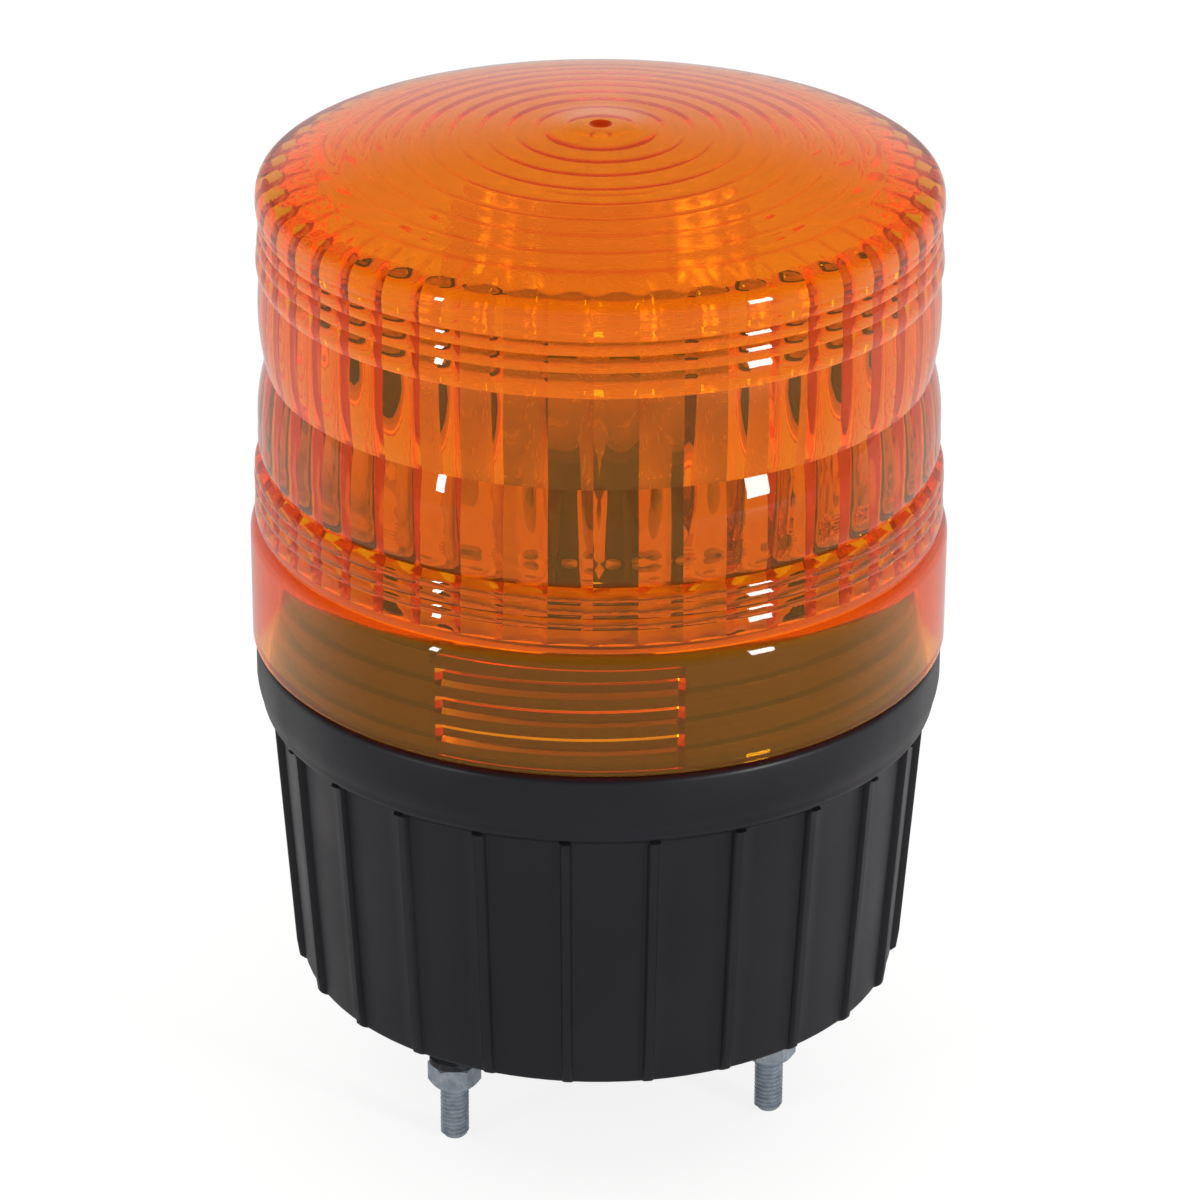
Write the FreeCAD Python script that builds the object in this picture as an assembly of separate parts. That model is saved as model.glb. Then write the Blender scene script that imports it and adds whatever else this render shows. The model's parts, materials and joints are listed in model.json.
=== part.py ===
import FreeCAD, Part
import math
import os

os.makedirs("parts", exist_ok=True)
V = FreeCAD.Vector

# ---------------------------------------------------------------- driving dimensions (mm, degrees)
# Frame: z = 0 is the mounting face, +Z is up, the front of the beacon looks along -Y.
RUN = 0.05                # radial and end clearance of running fits

# Globe: radii are steps in from the skirt, heights are stacked from the skirt's lower edge
SKIRT_R = 58.6            # outside of the skirt at its lower edge
SKIRT_DRAFT = 0.3         # how much the skirt narrows by its upper line
SKIRT_WALL = 2.1
SKIRT_H = 21.2
SEAT_GAP = 0.7            # from the base's rim to the skirt
RING_FOOT_IN, RING_HEAD_IN = 1.2, 1.9                        # small rings above the skirt
LOW_NOTCHES = (2.6, 5.7, 7.2, 10.4, 12.1)                    # their notches, above the skirt
GROOVE_IN, BULGE_IN, BULGE_BOW = 2.8, 3.0, 1.15              # the waist and the two big bulges
LOWER_BULGE_H, UPPER_BULGE_H = 17.15, 18.65
HIGH_FOOT_IN, HIGH_HEAD_IN = 2.5, 2.4                        # small rings above the bulges
HIGH_NOTCHES = (5.0, 8.5, 10.5, 12.5)
DISC_IN, DISC_RISE, CROWN_RISE = 6.6, 4.6, 3.5               # the turn-in, and the top disc's dome
FLUTES, FLUTE_DEEP = 48, 1.2
FLUTE_IN = 4.7            # inside of the globe's wall, at the bottom of the flutes
TOP_T = 3.0               # thickness of the top over the ring lens
RING_FIRST_R, RING_PITCH, RING_DEEP = 7.3, 4.65, 0.6
GATE_R, GATE_DEEP, GATE_LENS_R = 1.8, 1.2, 5.8               # moulding gate at the crown

# Base
LEDGE_Z = 47.7            # underside of the rim, where the ribs end
RIM_H, RIM_STEP = 12.6, 0.5                                  # rim's height; it stands in by a step
RIM_OVER = 2.27           # how far the rim stands out over the ribs' crests
RIB_DRAFT = 0.072         # growth of the base's radius per mm of height
RIB_COUNT, RIB_DEEP, RIB_WIDE = 24, 1.2, 1.9
RIB_PHASE = -5.4          # angle of one rib from the front
EDGE_ROUND = 2.5          # rounding of the lower edge
BASE_WALL = 2.4
FLOOR_T, FLOOR_SEAT = 3.0, 2.0                               # bottom plate, and the ledge it lies on
COLLAR_WALL = 2.8
BOSS_R, BOSS_IN = 4.2, 10.3                                  # bosses stand in from the collar's face
BOSS_ANGLES = (10, 130, 250)
SCREW_R, SCREW_HEAD_R, SCREW_HEAD_T = 1.45, 2.8, 1.9
INLET_R, INLET_FLANGE_R, INLET_FLANGE_T = 7.0, 9.0, 1.4
CABLE_R = 3.5             # bore of the grommet
BLOCK = (-33.0, -13.0, 1.0, 13.0)                            # terminal block: x and y limits
BLOCK_H, BLOCK_WELL, WAY_R = 11.0, 5.0, 1.7

# Thread between the collar and the skirt, right-handed, one start
LEAD = 5.0
THREAD_DEEP_OUT = 1.2     # collar ridge height
THREAD_DEEP_IN = 1.1      # skirt ridge height above its pad
THREAD_CLEAR = 0.45       # from the skirt's ridges to the collar
RIDGE_FOOT, RIDGE_CREST = 2.25, 1.45
THREAD_END = 1.6          # first and last ridge lines stop this far from the collar's ends
PAD_T = 0.4               # raised pad under each group of skirt ridges
PAD_SPAN, PAD_PHASE = 40.5, -6.9
PAD_COUNT, RIDGES_PER_PAD = 3, 3
PAD_FIRST = 4.6           # middle of the lowest ridge of the front pad, above the skirt's edge
SLIP_T, SLIP_CLEAR, GASKET_T = 1.1, 0.25, 1.2

# Studs, nuts and washers
STUD_COUNT, STUD_PCD, STUD_PHASE = 3, 64.0, 10.0
M5_R, STUD_END_R = 2.5, 2.24                                 # bare end at its thread's pitch radius
STUD_REACH = 28.0         # how far the studs stand out below the mounting face
NUT_DROP, NUT_T, M5_AF, M5_HEAD_T = 13.3, 4.0, 8.0, 3.5      # nuts run part of the way up
LOCK_WASHER_R, LOCK_WASHER_T = 4.3, 1.2

# Drive
WHEEL_TEETH, PINION_TEETH = 56, 14
PRESSURE = 20.0
BACKLASH = 0.3            # taken off each tooth's thickness, shared by its two flanks
PLATE_T, PLATE_DROP = 1.2, 9.4                               # chassis plate, below the collar's top
PLATE_CLEAR, PLATE_LIP = 0.6, 3.0
POST_R, POST_BORE, POST_FLANGE_R, POST_FLANGE_T = 5.5, 3.0, 9.0, 1.4
POST_NUT_T, POST_NUT_AF, POST_TAIL = 5.5, 16.0, 8.0
THRUST_R, THRUST_T, CLIP_T, CLIP_R, CLIP_GROOVE = 8.6, 0.6, 0.8, 7.4, 0.6
BUSH_R, BUSH_PROUD = 7.0, 0.7
WHEEL_LIFT, WHEEL_T, WHEEL_RIM, HUB_R, HUB_H = 3.2, 4.0, 4.5, 10.0, 4.8
MOTOR_R, MOTOR_H, MOTOR_GAP = 12.2, 30.0, 4.4
MOTOR_BOSS_R, MOTOR_SHAFT_R, SHAFT_IN = 4.5, 1.6, 13.5
MOTOR_SCREW_R, MOTOR_SCREW_AT, SMALL_HEAD_R, SMALL_HEAD_T = 1.3, 8.5, 2.3, 1.4
WIRE_HOLE_R = 4.0

# Lamp and mirror
SOCKET_GAP, SOCKET_H, SOCKET_R, POST_SEAT = 1.25, 5.0, 9.2, 4.0
SHELL_R, SHELL_T, SHELL_H, PIN_RISE, PIN_R = 8.4, 0.65, 12.0, 8.5, 1.0
CONTACT_R, CONTACT_H = 2.0, 2.2
CAP_R, CAP_LENGTH = 7.5, 14.8
GLASS_R, GLASS_T, BULB_H, LIGHT_H = 8.0, 0.6, 37.8, 24.3
MIRROR_FOCUS = 16.0       # vertex distance from the lamp's axis
MIRROR_W, MIRROR_H, MIRROR_T, MIRROR_LIFT = 50.0, 47.5, 1.0, 14.6
MIRROR_BACK_R = 120.0     # radius of the mirror's upright curve
MIRROR_CORNER = 7.0
STAND_W, STAND_T = 14.0, 1.5

# ---------------------------------------------------------------- sizes that follow
RIM_TOP = LEDGE_Z + RIM_H
SKIRT_Z0 = RIM_TOP + SEAT_GAP
SKIRT_Z1 = SKIRT_Z0 + SKIRT_H
LENS_Z0 = SKIRT_Z1 + LOW_NOTCHES[-1]
GROOVE_Z = LENS_Z0 + LOWER_BULGE_H
BULGE_TOP = GROOVE_Z + UPPER_BULGE_H
SHOULDER_Z = BULGE_TOP + HIGH_NOTCHES[-1]
DISC_Z = SHOULDER_Z + DISC_RISE
CROWN_Z = DISC_Z + CROWN_RISE
DISC_R = SKIRT_R - DISC_IN
LENS_IN = SKIRT_R - FLUTE_IN
SKIRT_IN = SKIRT_R - SKIRT_DRAFT / 2 - SKIRT_WALL
SKIRT_ROOF = SKIRT_Z1 - 0.2
PAD_R = SKIRT_IN - PAD_T

COLLAR_R = PAD_R - THREAD_DEEP_IN - THREAD_CLEAR
COLLAR_IN = COLLAR_R - COLLAR_WALL
SLIP_TOP = SKIRT_ROOF - RUN
COLLAR_TOP = SLIP_TOP - SLIP_T - SLIP_CLEAR - GASKET_T
RIM_R = SKIRT_R - RIM_STEP
LEDGE_R = RIM_R - RIM_OVER
RIB_R0 = LEDGE_R - RIB_DRAFT * LEDGE_Z
FLOOR_R = RIB_R0 - RIB_DEEP - 2 * BASE_WALL + 0.8
BOSS_AT = COLLAR_R - BOSS_IN
BOSS_TOP = COLLAR_TOP - PLATE_DROP
NUT_LOW = -NUT_DROP - NUT_T

PLATE_Z = BOSS_TOP
PLATE_TOP = PLATE_Z + PLATE_T
PLATE_R = COLLAR_IN - PLATE_CLEAR
POST_FLANGE_TOP = PLATE_TOP + POST_FLANGE_T
BUSH_Z0 = POST_FLANGE_TOP + THRUST_T + RUN
WHEEL_Z0 = PLATE_TOP + WHEEL_LIFT
WHEEL_Z1 = WHEEL_Z0 + WHEEL_T
HUB_TOP = WHEEL_Z1 + HUB_H
BUSH_Z1 = HUB_TOP + BUSH_PROUD
CLIP_Z = BUSH_Z1 + RUN
MOTOR_X = COLLAR_IN - MOTOR_R - MOTOR_GAP
MOTOR_LOW = PLATE_Z - MOTOR_H
MODULE = 2 * MOTOR_X / (WHEEL_TEETH + PINION_TEETH)
ADDENDUM, DEDENDUM = 0.8 * MODULE, 1.15 * MODULE
WEB_R = MODULE * WHEEL_TEETH / 2 - WHEEL_RIM

SOCKET_Z0 = CLIP_Z + CLIP_T + SOCKET_GAP
SHELL_Z0 = SOCKET_Z0 + SOCKET_H
SHELL_Z1 = SHELL_Z0 + SHELL_H
PIN_Z = SHELL_Z0 + PIN_RISE
CAP_Z0 = SHELL_Z0 + CONTACT_H
CAP_Z1 = CAP_Z0 + CAP_LENGTH
GLASS_TOP = CAP_Z0 + BULB_H
MIRROR_Z0 = WHEEL_Z1 + MIRROR_LIFT
MIRROR_Z1 = MIRROR_Z0 + MIRROR_H


# ---------------------------------------------------------------- helpers
def polar(r, angle, z=0.0):
    """A point at an angle from the front, counted towards +X."""
    a = math.radians(angle)
    return V(r * math.sin(a), -r * math.cos(a), z)


def spin(shape, angle):
    """A copy turned about the vertical axis, in the same sense as polar()."""
    out = shape.copy()
    out.rotate(V(), V(0, 0, 1), angle)
    return out


def rod(r, z0, z1, at=V()):
    return Part.makeCylinder(r, z1 - z0, V(at.x, at.y, z0))


def tube(r_out, r_in, z0, z1, at=V()):
    return rod(r_out, z0, z1, at).cut(rod(r_in, z0 - 1, z1 + 1, at))


def hexagon(af, z0, z1, at=V()):
    r = af / math.sqrt(3)
    pts = [V(at.x + r * math.cos(math.radians(60 * k)), at.y + r * math.sin(math.radians(60 * k)), z0)
           for k in range(7)]
    return Part.Face(Part.makePolygon(pts)).extrude(V(0, 0, z1 - z0))


def box(x0, x1, y0, y1, z0, z1):
    return Part.makeBox(x1 - x0, y1 - y0, z1 - z0, V(x0, y0, z0))


def line(a, b):
    return Part.makeLine(V(a[0], 0, a[1]), V(b[0], 0, b[1]))


def bulge(a, b, sagitta):
    """An arc from a to b in the (r, z) half-plane, bowed to the right of travel by its sagitta."""
    dx, dz = b[0] - a[0], b[1] - a[1]
    length = math.hypot(dx, dz)
    mid = V((a[0] + b[0]) / 2 + sagitta * dz / length, 0, (a[1] + b[1]) / 2 - sagitta * dx / length)
    return Part.Arc(V(a[0], 0, a[1]), mid, V(b[0], 0, b[1])).toShape()


def path(*steps):
    """Edges through (r, z) points; a third number bows the step that arrives there."""
    edges = []
    for a, b in zip(steps, steps[1:]):
        edges.append(bulge(a, b, b[2]) if len(b) > 2 else line(a, b))
    return edges


def turned(edges):
    """The solid of revolution of a closed (r, z) outline."""
    face = Part.Face(Part.Wire(Part.__sortEdges__(edges)))
    return face.revolve(V(), V(0, 0, 1), 360)


def ridge(r_foot, r_crest, foot, crest, z, start, span):
    """One stretch of thread: a trapezium swept along the helix, its middle at height z at angle start."""
    sink = 0.3 if r_crest > r_foot else -0.3
    helix = Part.makeHelix(LEAD, LEAD * span / 360, min(r_foot, r_crest))
    pts = [V(r_foot - sink, 0, -foot / 2), V(r_crest, 0, -crest / 2), V(r_crest, 0, crest / 2),
           V(r_foot - sink, 0, foot / 2), V(r_foot - sink, 0, -foot / 2)]
    solid = Part.Wire(helix).makePipeShell([Part.makePolygon(pts)], True, True)
    solid.translate(V(0, 0, z))
    return spin(solid, start - 90)


def helix_z(angle, turn=0, offset=0.0):
    """Height of the skirt's ridge line at an angle from the front."""
    return SKIRT_Z0 + PAD_FIRST + LEAD * ((angle - PAD_PHASE) / 360 + turn) + offset


def save(name, shape):
    shape = shape.removeSplitter() if shape.ShapeType != "Compound" else shape
    shape.exportStep("parts/%s.step" % name)


# ---------------------------------------------------------------- globe
def rings(z0, notches, r_low, r_high, bow):
    """Small stacked rings: each one bows out between two notches on a tapering line."""
    taper = (r_high - r_low) / notches[-1]
    return [(r_low, z0)] + [(r_low + taper * h, z0 + h, bow) for h in notches]


def globe_outside():
    skirt_top = (SKIRT_R - SKIRT_DRAFT, SKIRT_Z1)
    steps = [(SKIRT_IN, SKIRT_Z0), (SKIRT_R - 0.5, SKIRT_Z0), (SKIRT_R, SKIRT_Z0 + 0.5), skirt_top]
    steps += rings(SKIRT_Z1, LOW_NOTCHES, SKIRT_R - RING_FOOT_IN, SKIRT_R - RING_HEAD_IN, 0.35)
    steps += [(SKIRT_R - GROOVE_IN, GROOVE_Z, BULGE_BOW), (SKIRT_R - BULGE_IN, BULGE_TOP, BULGE_BOW)]
    steps += rings(BULGE_TOP, HIGH_NOTCHES, SKIRT_R - HIGH_FOOT_IN, SKIRT_R - HIGH_HEAD_IN, 0.25)
    steps += [(DISC_R, DISC_Z, 1.35), (GATE_LENS_R, CROWN_Z - 0.15, 0.9), (GATE_LENS_R - 0.6, CROWN_Z),
              (GATE_R, CROWN_Z), (0.0, CROWN_Z - GATE_DEEP)]
    return steps


def globe_inside():
    """From the axis out along the ring lens, then down the wall to the skirt."""
    steps = [(0.0, CROWN_Z - TOP_T), (GATE_LENS_R, CROWN_Z - TOP_T)]
    r = RING_FIRST_R
    while r < DISC_R - 4:
        dome = CROWN_Z - TOP_T - (CROWN_Z - DISC_Z) * (r / DISC_R) ** 2
        steps += [(r, dome + RING_DEEP / 2), (r + RING_PITCH / 2, dome - RING_DEEP / 2)]
        r += RING_PITCH
    steps += [(r, DISC_Z - TOP_T + 0.1), (LENS_IN, SHOULDER_Z - 0.6, -0.6), (LENS_IN, SKIRT_ROOF),
              (SKIRT_IN, SKIRT_ROOF), (SKIRT_IN, SKIRT_Z0)]
    return steps


def flute_ring():
    """The inner lens: upright half-round ribs side by side around the wall."""
    valley = LENS_IN + 0.4
    pts = [polar(LENS_IN - 0.05, 360.0 * k / FLUTES) for k in range(FLUTES + 1)]
    edges = []
    for k in range(FLUTES):
        mid = polar(LENS_IN - FLUTE_DEEP, 360.0 * (k + 0.5) / FLUTES)
        edges.append(Part.Arc(pts[k], mid, pts[(k + 1) % FLUTES]).toShape())
    inner = Part.Face(Part.Wire(edges))
    ring = Part.Face(Part.Wire(Part.makeCircle(valley))).cut(inner)
    low, high = LENS_Z0 - 0.3, SHOULDER_Z - 1.0
    ring.translate(V(0, 0, low))
    return ring.extrude(V(0, 0, high - low))


def pad_with_ridges(centre):
    """One of the skirt's thread groups: a raised pad that carries three short ridges."""
    shell = tube(SKIRT_IN + 0.3, PAD_R, SKIRT_Z0 + 0.4, SKIRT_Z1 - 3.0)
    half = PAD_SPAN / 2
    wedge = Part.Face(Part.makePolygon([V(), polar(2 * SKIRT_R, centre - half),
                                    polar(2 * SKIRT_R, centre + half), V()]))
    wedge.translate(V(0, 0, SKIRT_Z0))
    group = shell.common(wedge.extrude(V(0, 0, SKIRT_Z1 - SKIRT_Z0)))
    start = centre - half
    turn = math.ceil((SKIRT_Z0 + PAD_FIRST - 1.1 - helix_z(centre)) / LEAD - 0.2)
    for k in range(RIDGES_PER_PAD):
        group = group.fuse(ridge(PAD_R, PAD_R - THREAD_DEEP_IN, RIDGE_FOOT, RIDGE_CREST,
                                 helix_z(start, turn + k), start, PAD_SPAN))
    return group


def globe():
    body = turned(path(*globe_outside()) + path(*globe_inside()) + [
        line((0.0, CROWN_Z - GATE_DEEP), (0.0, CROWN_Z - TOP_T))])
    body = body.fuse(flute_ring())
    for k in range(PAD_COUNT):
        body = body.fuse(pad_with_ridges(PAD_PHASE + 360.0 * k / PAD_COUNT))
    return body


# ---------------------------------------------------------------- base
def rib_r(z):
    return RIB_R0 + RIB_DRAFT * z


def base_housing():
    """Shell with a rolled rim and a threaded collar, then ribs outside and screw bosses inside."""
    floor_in, seat_in = FLOOR_R + 0.1, FLOOR_R + 0.1 - FLOOR_SEAT
    side0, side1 = rib_r(EDGE_ROUND) - RIB_DEEP, rib_r(LEDGE_Z) - RIB_DEEP
    outline = path(
        (floor_in, 0.0), (side0 - EDGE_ROUND + 0.6, 0.0), (side0, EDGE_ROUND, 0.6), (side1, LEDGE_Z),
        (LEDGE_R, LEDGE_Z), (RIM_R, LEDGE_Z + 5.0, 0.9), (RIM_R, RIM_TOP - 0.6),
        (RIM_R - 0.6, RIM_TOP, 0.15), (COLLAR_R, RIM_TOP), (COLLAR_R, COLLAR_TOP - 0.8),
        (COLLAR_R - 0.8, COLLAR_TOP), (COLLAR_IN, COLLAR_TOP), (COLLAR_IN, RIM_TOP - 2.4),
        (RIM_R - BASE_WALL - 0.3, RIM_TOP - 2.4), (RIM_R - BASE_WALL - 0.3, LEDGE_Z + 5.4),
        (side1 - BASE_WALL, LEDGE_Z + 1.0), (side0 - BASE_WALL, FLOOR_T + 3.5),
        (seat_in, FLOOR_T + 2.0), (seat_in, FLOOR_T), (floor_in, FLOOR_T),
        (floor_in, 0.0))
    body = turned(outline)

    # ribs: a slightly larger shell, kept only where upright slabs cross it
    z0, z1 = 0.9, LEDGE_Z + 0.4
    crest = turned(path((rib_r(z0) - 3.2, z0), (rib_r(z0) - 1.3, z0), (rib_r(z0 + 1.6), z0 + 1.6, 0.3),
                        (rib_r(z1), z1), (rib_r(z1) - 3.2, z1), (rib_r(z0) - 3.2, z0)))
    slabs = []
    for k in range(RIB_COUNT):
        slab = box(-RIB_WIDE / 2, RIB_WIDE / 2, -RIM_R - 5, -RIB_R0 + 6, -1, RIM_TOP)
        slabs.append(spin(slab, RIB_PHASE + 360.0 * k / RIB_COUNT))
    body = body.fuse(crest.common(Part.makeCompound(slabs)))

    # screw bosses on the wall carry the chassis plate above and the floor below
    inside = turned(path((0, FLOOR_T), (floor_in - 1.0, FLOOR_T), (side0 - 1.0, FLOOR_T + 3.5),
                         (side1 - 1.0, LEDGE_Z), (side1 - 1.0, BOSS_TOP), (0, BOSS_TOP), (0, FLOOR_T)))
    for angle in BOSS_ANGLES:
        at = polar(BOSS_AT, angle)
        web = spin(box(-1.1, 1.1, -COLLAR_R, -BOSS_AT, FLOOR_T, BOSS_TOP), angle)
        boss = rod(BOSS_R, FLOOR_T, BOSS_TOP, at).fuse(web).common(inside)
        body = body.fuse(boss).cut(rod(SCREW_R, BOSS_TOP - 14, BOSS_TOP + 1, at))
        body = body.cut(rod(SCREW_R, 0, FLOOR_T + 12, at))

    # thread: its line runs midway between the skirt's ridges
    first = helix_z(PAD_PHASE, -1, LEAD / 2)
    low, high = RIM_TOP + THREAD_END, COLLAR_TOP - THREAD_END
    start, span = PAD_PHASE + 360 * (low - first) / LEAD, 360 * (high - low) / LEAD
    return body.fuse(ridge(COLLAR_R, COLLAR_R + THREAD_DEEP_OUT, RIDGE_FOOT, RIDGE_CREST,
                           low, start, span))


def stud_places():
    return [("abc"[k], polar(STUD_PCD / 2, STUD_PHASE - 60 + 360.0 * k / STUD_COUNT))
            for k in range(STUD_COUNT)]


def base_floor():
    """The bottom plate: takes the studs, the cable grommet and three countersunk screws."""
    body = rod(FLOOR_R, 0, FLOOR_T).cut(rod(INLET_R, -1, FLOOR_T + 1))
    body = body.cut(rod(INLET_FLANGE_R + 0.2, -1, INLET_FLANGE_T + 0.1))
    for _, at in stud_places():
        pad = rod(M5_AF / 2 + 2.2, FLOOR_T, FLOOR_T + 1.6, at).cut(hexagon(M5_AF, FLOOR_T, FLOOR_T + 2, at))
        body = body.fuse(pad).cut(rod(M5_R, -1, FLOOR_T + 1, at))
    for angle in BOSS_ANGLES:
        at = polar(BOSS_AT, angle)
        sink = Part.makeCone(SCREW_HEAD_R, SCREW_R, SCREW_HEAD_T, V(at.x, at.y, 0))
        body = body.cut(rod(SCREW_R, -1, FLOOR_T + 1, at)).cut(sink)
    return body


def grommet():
    """Rubber ring with a groove that the floor snaps into; its bore takes the supply cable."""
    return turned(path(
        (CABLE_R, 0.0), (INLET_FLANGE_R, 0.0), (INLET_FLANGE_R, INLET_FLANGE_T),
        (INLET_R, INLET_FLANGE_T + 0.1), (INLET_R, FLOOR_T), (INLET_FLANGE_R - 0.6, FLOOR_T),
        (INLET_FLANGE_R - 1.4, FLOOR_T + 1.6), (CABLE_R + 1.2, FLOOR_T + 3.0),
        (CABLE_R, FLOOR_T + 3.0), (CABLE_R, 0.0)))


def stud(at):
    """Hexagon bolt set through the floor; below its nut it is drawn at its thread's pitch radius."""
    head = hexagon(M5_AF, FLOOR_T, FLOOR_T + M5_HEAD_T, at)
    shank = rod(M5_R, NUT_LOW, FLOOR_T, at)
    end = rod(STUD_END_R, -STUD_REACH + 0.6, NUT_LOW, at)
    tip = Part.makeCone(STUD_END_R - 0.6, STUD_END_R, 0.6, V(at.x, at.y, -STUD_REACH))
    return head.fuse(shank).fuse(end).fuse(tip)


def nut(at, z0, thick, af, bore):
    """Hexagon nut with both faces chamfered to a circle."""
    r, c = af / math.sqrt(3), 0.12 * af
    cham = turned(path((0, 0), (af / 2 - 0.1, 0), (r + 0.2, c * 0.5), (r + 0.2, thick - c * 0.5),
                       (af / 2 - 0.1, thick), (0, thick), (0, 0)))
    cham.translate(V(at.x, at.y, z0))
    return hexagon(af, z0, z0 + thick, at).common(cham).cut(rod(bore, z0 - 1, z0 + thick + 1, at))


def lock_washer(at):
    """Split spring washer lying on the nut."""
    z0 = NUT_LOW + NUT_T
    ring = tube(LOCK_WASHER_R, M5_R + 0.1, z0, z0 + LOCK_WASHER_T, at)
    return ring.cut(box(at.x, at.x + 6, at.y - 0.5, at.y + 0.5, z0 - 1, z0 + 3))


def pan_screw(at, seat, length, r, head_r, head_t):
    """Cross-recessed pan-head screw, head up on its seat."""
    dome = Part.makeSphere(head_r * 1.6, V(at.x, at.y, seat + head_t - head_r * 1.6))
    head = rod(head_r, seat, seat + head_t, at).common(dome.fuse(rod(head_r, seat, seat + 0.4, at)))
    body = head.fuse(rod(r, seat - length, seat, at))
    return body.cut(cross(at, seat + head_t, head_r, 1))


def cross(at, z, head_r, up):
    """Cross recess, cut into a head whose outer face is at z."""
    a, w, d = head_r * 0.55, head_r * 0.11, 0.9
    z0 = z - d if up > 0 else z - 1
    return box(at.x - a, at.x + a, at.y - w, at.y + w, z0, z0 + d + 1).fuse(
        box(at.x - w, at.x + w, at.y - a, at.y + a, z0, z0 + d + 1))


def floor_screw(at):
    """Countersunk screw from below, flush with the mounting face."""
    head = Part.makeCone(SCREW_HEAD_R, SCREW_R, SCREW_HEAD_T, V(at.x, at.y, 0))
    body = head.fuse(rod(SCREW_R, SCREW_HEAD_T, FLOOR_T + 10, at))
    return body.cut(cross(at, 0, SCREW_HEAD_R, -1))


def collar_gasket():
    return tube(COLLAR_R - 0.5, COLLAR_IN + 0.3, COLLAR_TOP, COLLAR_TOP + GASKET_T)


def slip_ring():
    """Thin ring captive in the skirt above its thread: it rises with the globe but doesn't turn."""
    return tube(PAD_R - 0.1, COLLAR_IN + 0.3, SLIP_TOP - SLIP_T, SLIP_TOP)


# ---------------------------------------------------------------- chassis, motor and drive
def chassis_plate():
    """Pressed plate on the three bosses, with holes for the post, motor and wiring."""
    body = rod(PLATE_R, PLATE_Z, PLATE_TOP).cut(rod(POST_R, PLATE_Z - 1, PLATE_TOP + 1))
    motor = V(MOTOR_X, 0, 0)
    body = body.cut(rod(MOTOR_BOSS_R, PLATE_Z - 1, PLATE_TOP + 1, motor))
    for at in motor_screw_places():
        body = body.cut(rod(MOTOR_SCREW_R, PLATE_Z - 1, PLATE_TOP + 1, at))
    for angle in BOSS_ANGLES:
        body = body.cut(rod(SCREW_R, PLATE_Z - 1, PLATE_TOP + 1, polar(BOSS_AT, angle)))
    for angle in (50, 190, 310):
        at = polar(PLATE_R - 14.0, angle)
        body = body.cut(rod(WIRE_HOLE_R, PLATE_Z - 1, PLATE_TOP + 1, at))
    lip = tube(PLATE_R, PLATE_R - PLATE_T, PLATE_TOP, PLATE_TOP + PLATE_LIP)
    return body.fuse(lip)


def motor_screw_places():
    return [V(MOTOR_X, s * MOTOR_SCREW_AT, 0) for s in (1, -1)]


def motor_case():
    """Drawn can with two flats and a bearing boss that centres it in the plate."""
    at = V(MOTOR_X, 0, 0)
    body = rod(MOTOR_R, MOTOR_LOW, PLATE_Z, at)
    body = body.common(box(at.x - MOTOR_R, at.x + MOTOR_R, -MOTOR_R + 1.2, MOTOR_R - 1.2,
                           MOTOR_LOW, PLATE_Z))
    body = body.fuse(rod(MOTOR_BOSS_R - 0.05, PLATE_Z, PLATE_TOP + 0.4, at))
    body = body.cut(rod(MOTOR_SHAFT_R + RUN, PLATE_Z - SHAFT_IN - 0.5, PLATE_TOP + 2, at))
    for place in motor_screw_places():
        body = body.cut(rod(MOTOR_SCREW_R, PLATE_Z - 5, PLATE_Z + 1, place))
    return body


def motor_cap():
    """Moulded end bell with its two solder tags' pockets."""
    at = V(MOTOR_X, 0, 0)
    body = rod(MOTOR_R - 0.4, MOTOR_LOW - 3.5, MOTOR_LOW, at)
    body = body.common(box(at.x - MOTOR_R, at.x + MOTOR_R, -MOTOR_R + 1.6, MOTOR_R - 1.6,
                           MOTOR_LOW - 4, MOTOR_LOW))
    body = body.fuse(rod(4.0, MOTOR_LOW - 5.5, MOTOR_LOW - 3.5, at))
    for s in (1, -1):
        body = body.cut(box(at.x - 1.5, at.x + 1.5, s * 7 - 1, s * 7 + 1, MOTOR_LOW - 4, MOTOR_LOW - 1.5))
    return body


def gear(teeth, addendum, z0, z1):
    """Spur gear with involute flanks, one tooth centred on +X."""
    pr = MODULE * teeth / 2
    base, tip, root = pr * math.cos(math.radians(PRESSURE)), pr + addendum, pr - DEDENDUM

    def roll(r):
        if r <= base:
            return 0.0
        t = math.acos(base / r)
        return math.tan(t) - t
    half = math.pi / 2 / teeth - BACKLASH / 4 / pr + roll(pr)
    radii = [root] + [max(base, root) + (tip - max(base, root)) * k / 3 for k in range(4)]
    pts = []
    for n in range(teeth):
        mid = 2 * math.pi * n / teeth
        for side, order in ((-1, radii), (1, radii[::-1])):
            for r in order:
                a = mid + side * (half - roll(r))
                pts.append(V(r * math.cos(a), r * math.sin(a), z0))
    pts.append(pts[0])
    return Part.Face(Part.makePolygon(pts)).extrude(V(0, 0, z1 - z0))


def mirror_back_y():
    """Depth of the mirror's back at its lower edge, on the centre line."""
    rise = (MIRROR_Z1 - MIRROR_Z0) / 2
    return -MIRROR_FOCUS - MIRROR_T + MIRROR_BACK_R - math.sqrt(MIRROR_BACK_R ** 2 - rise ** 2)


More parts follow.
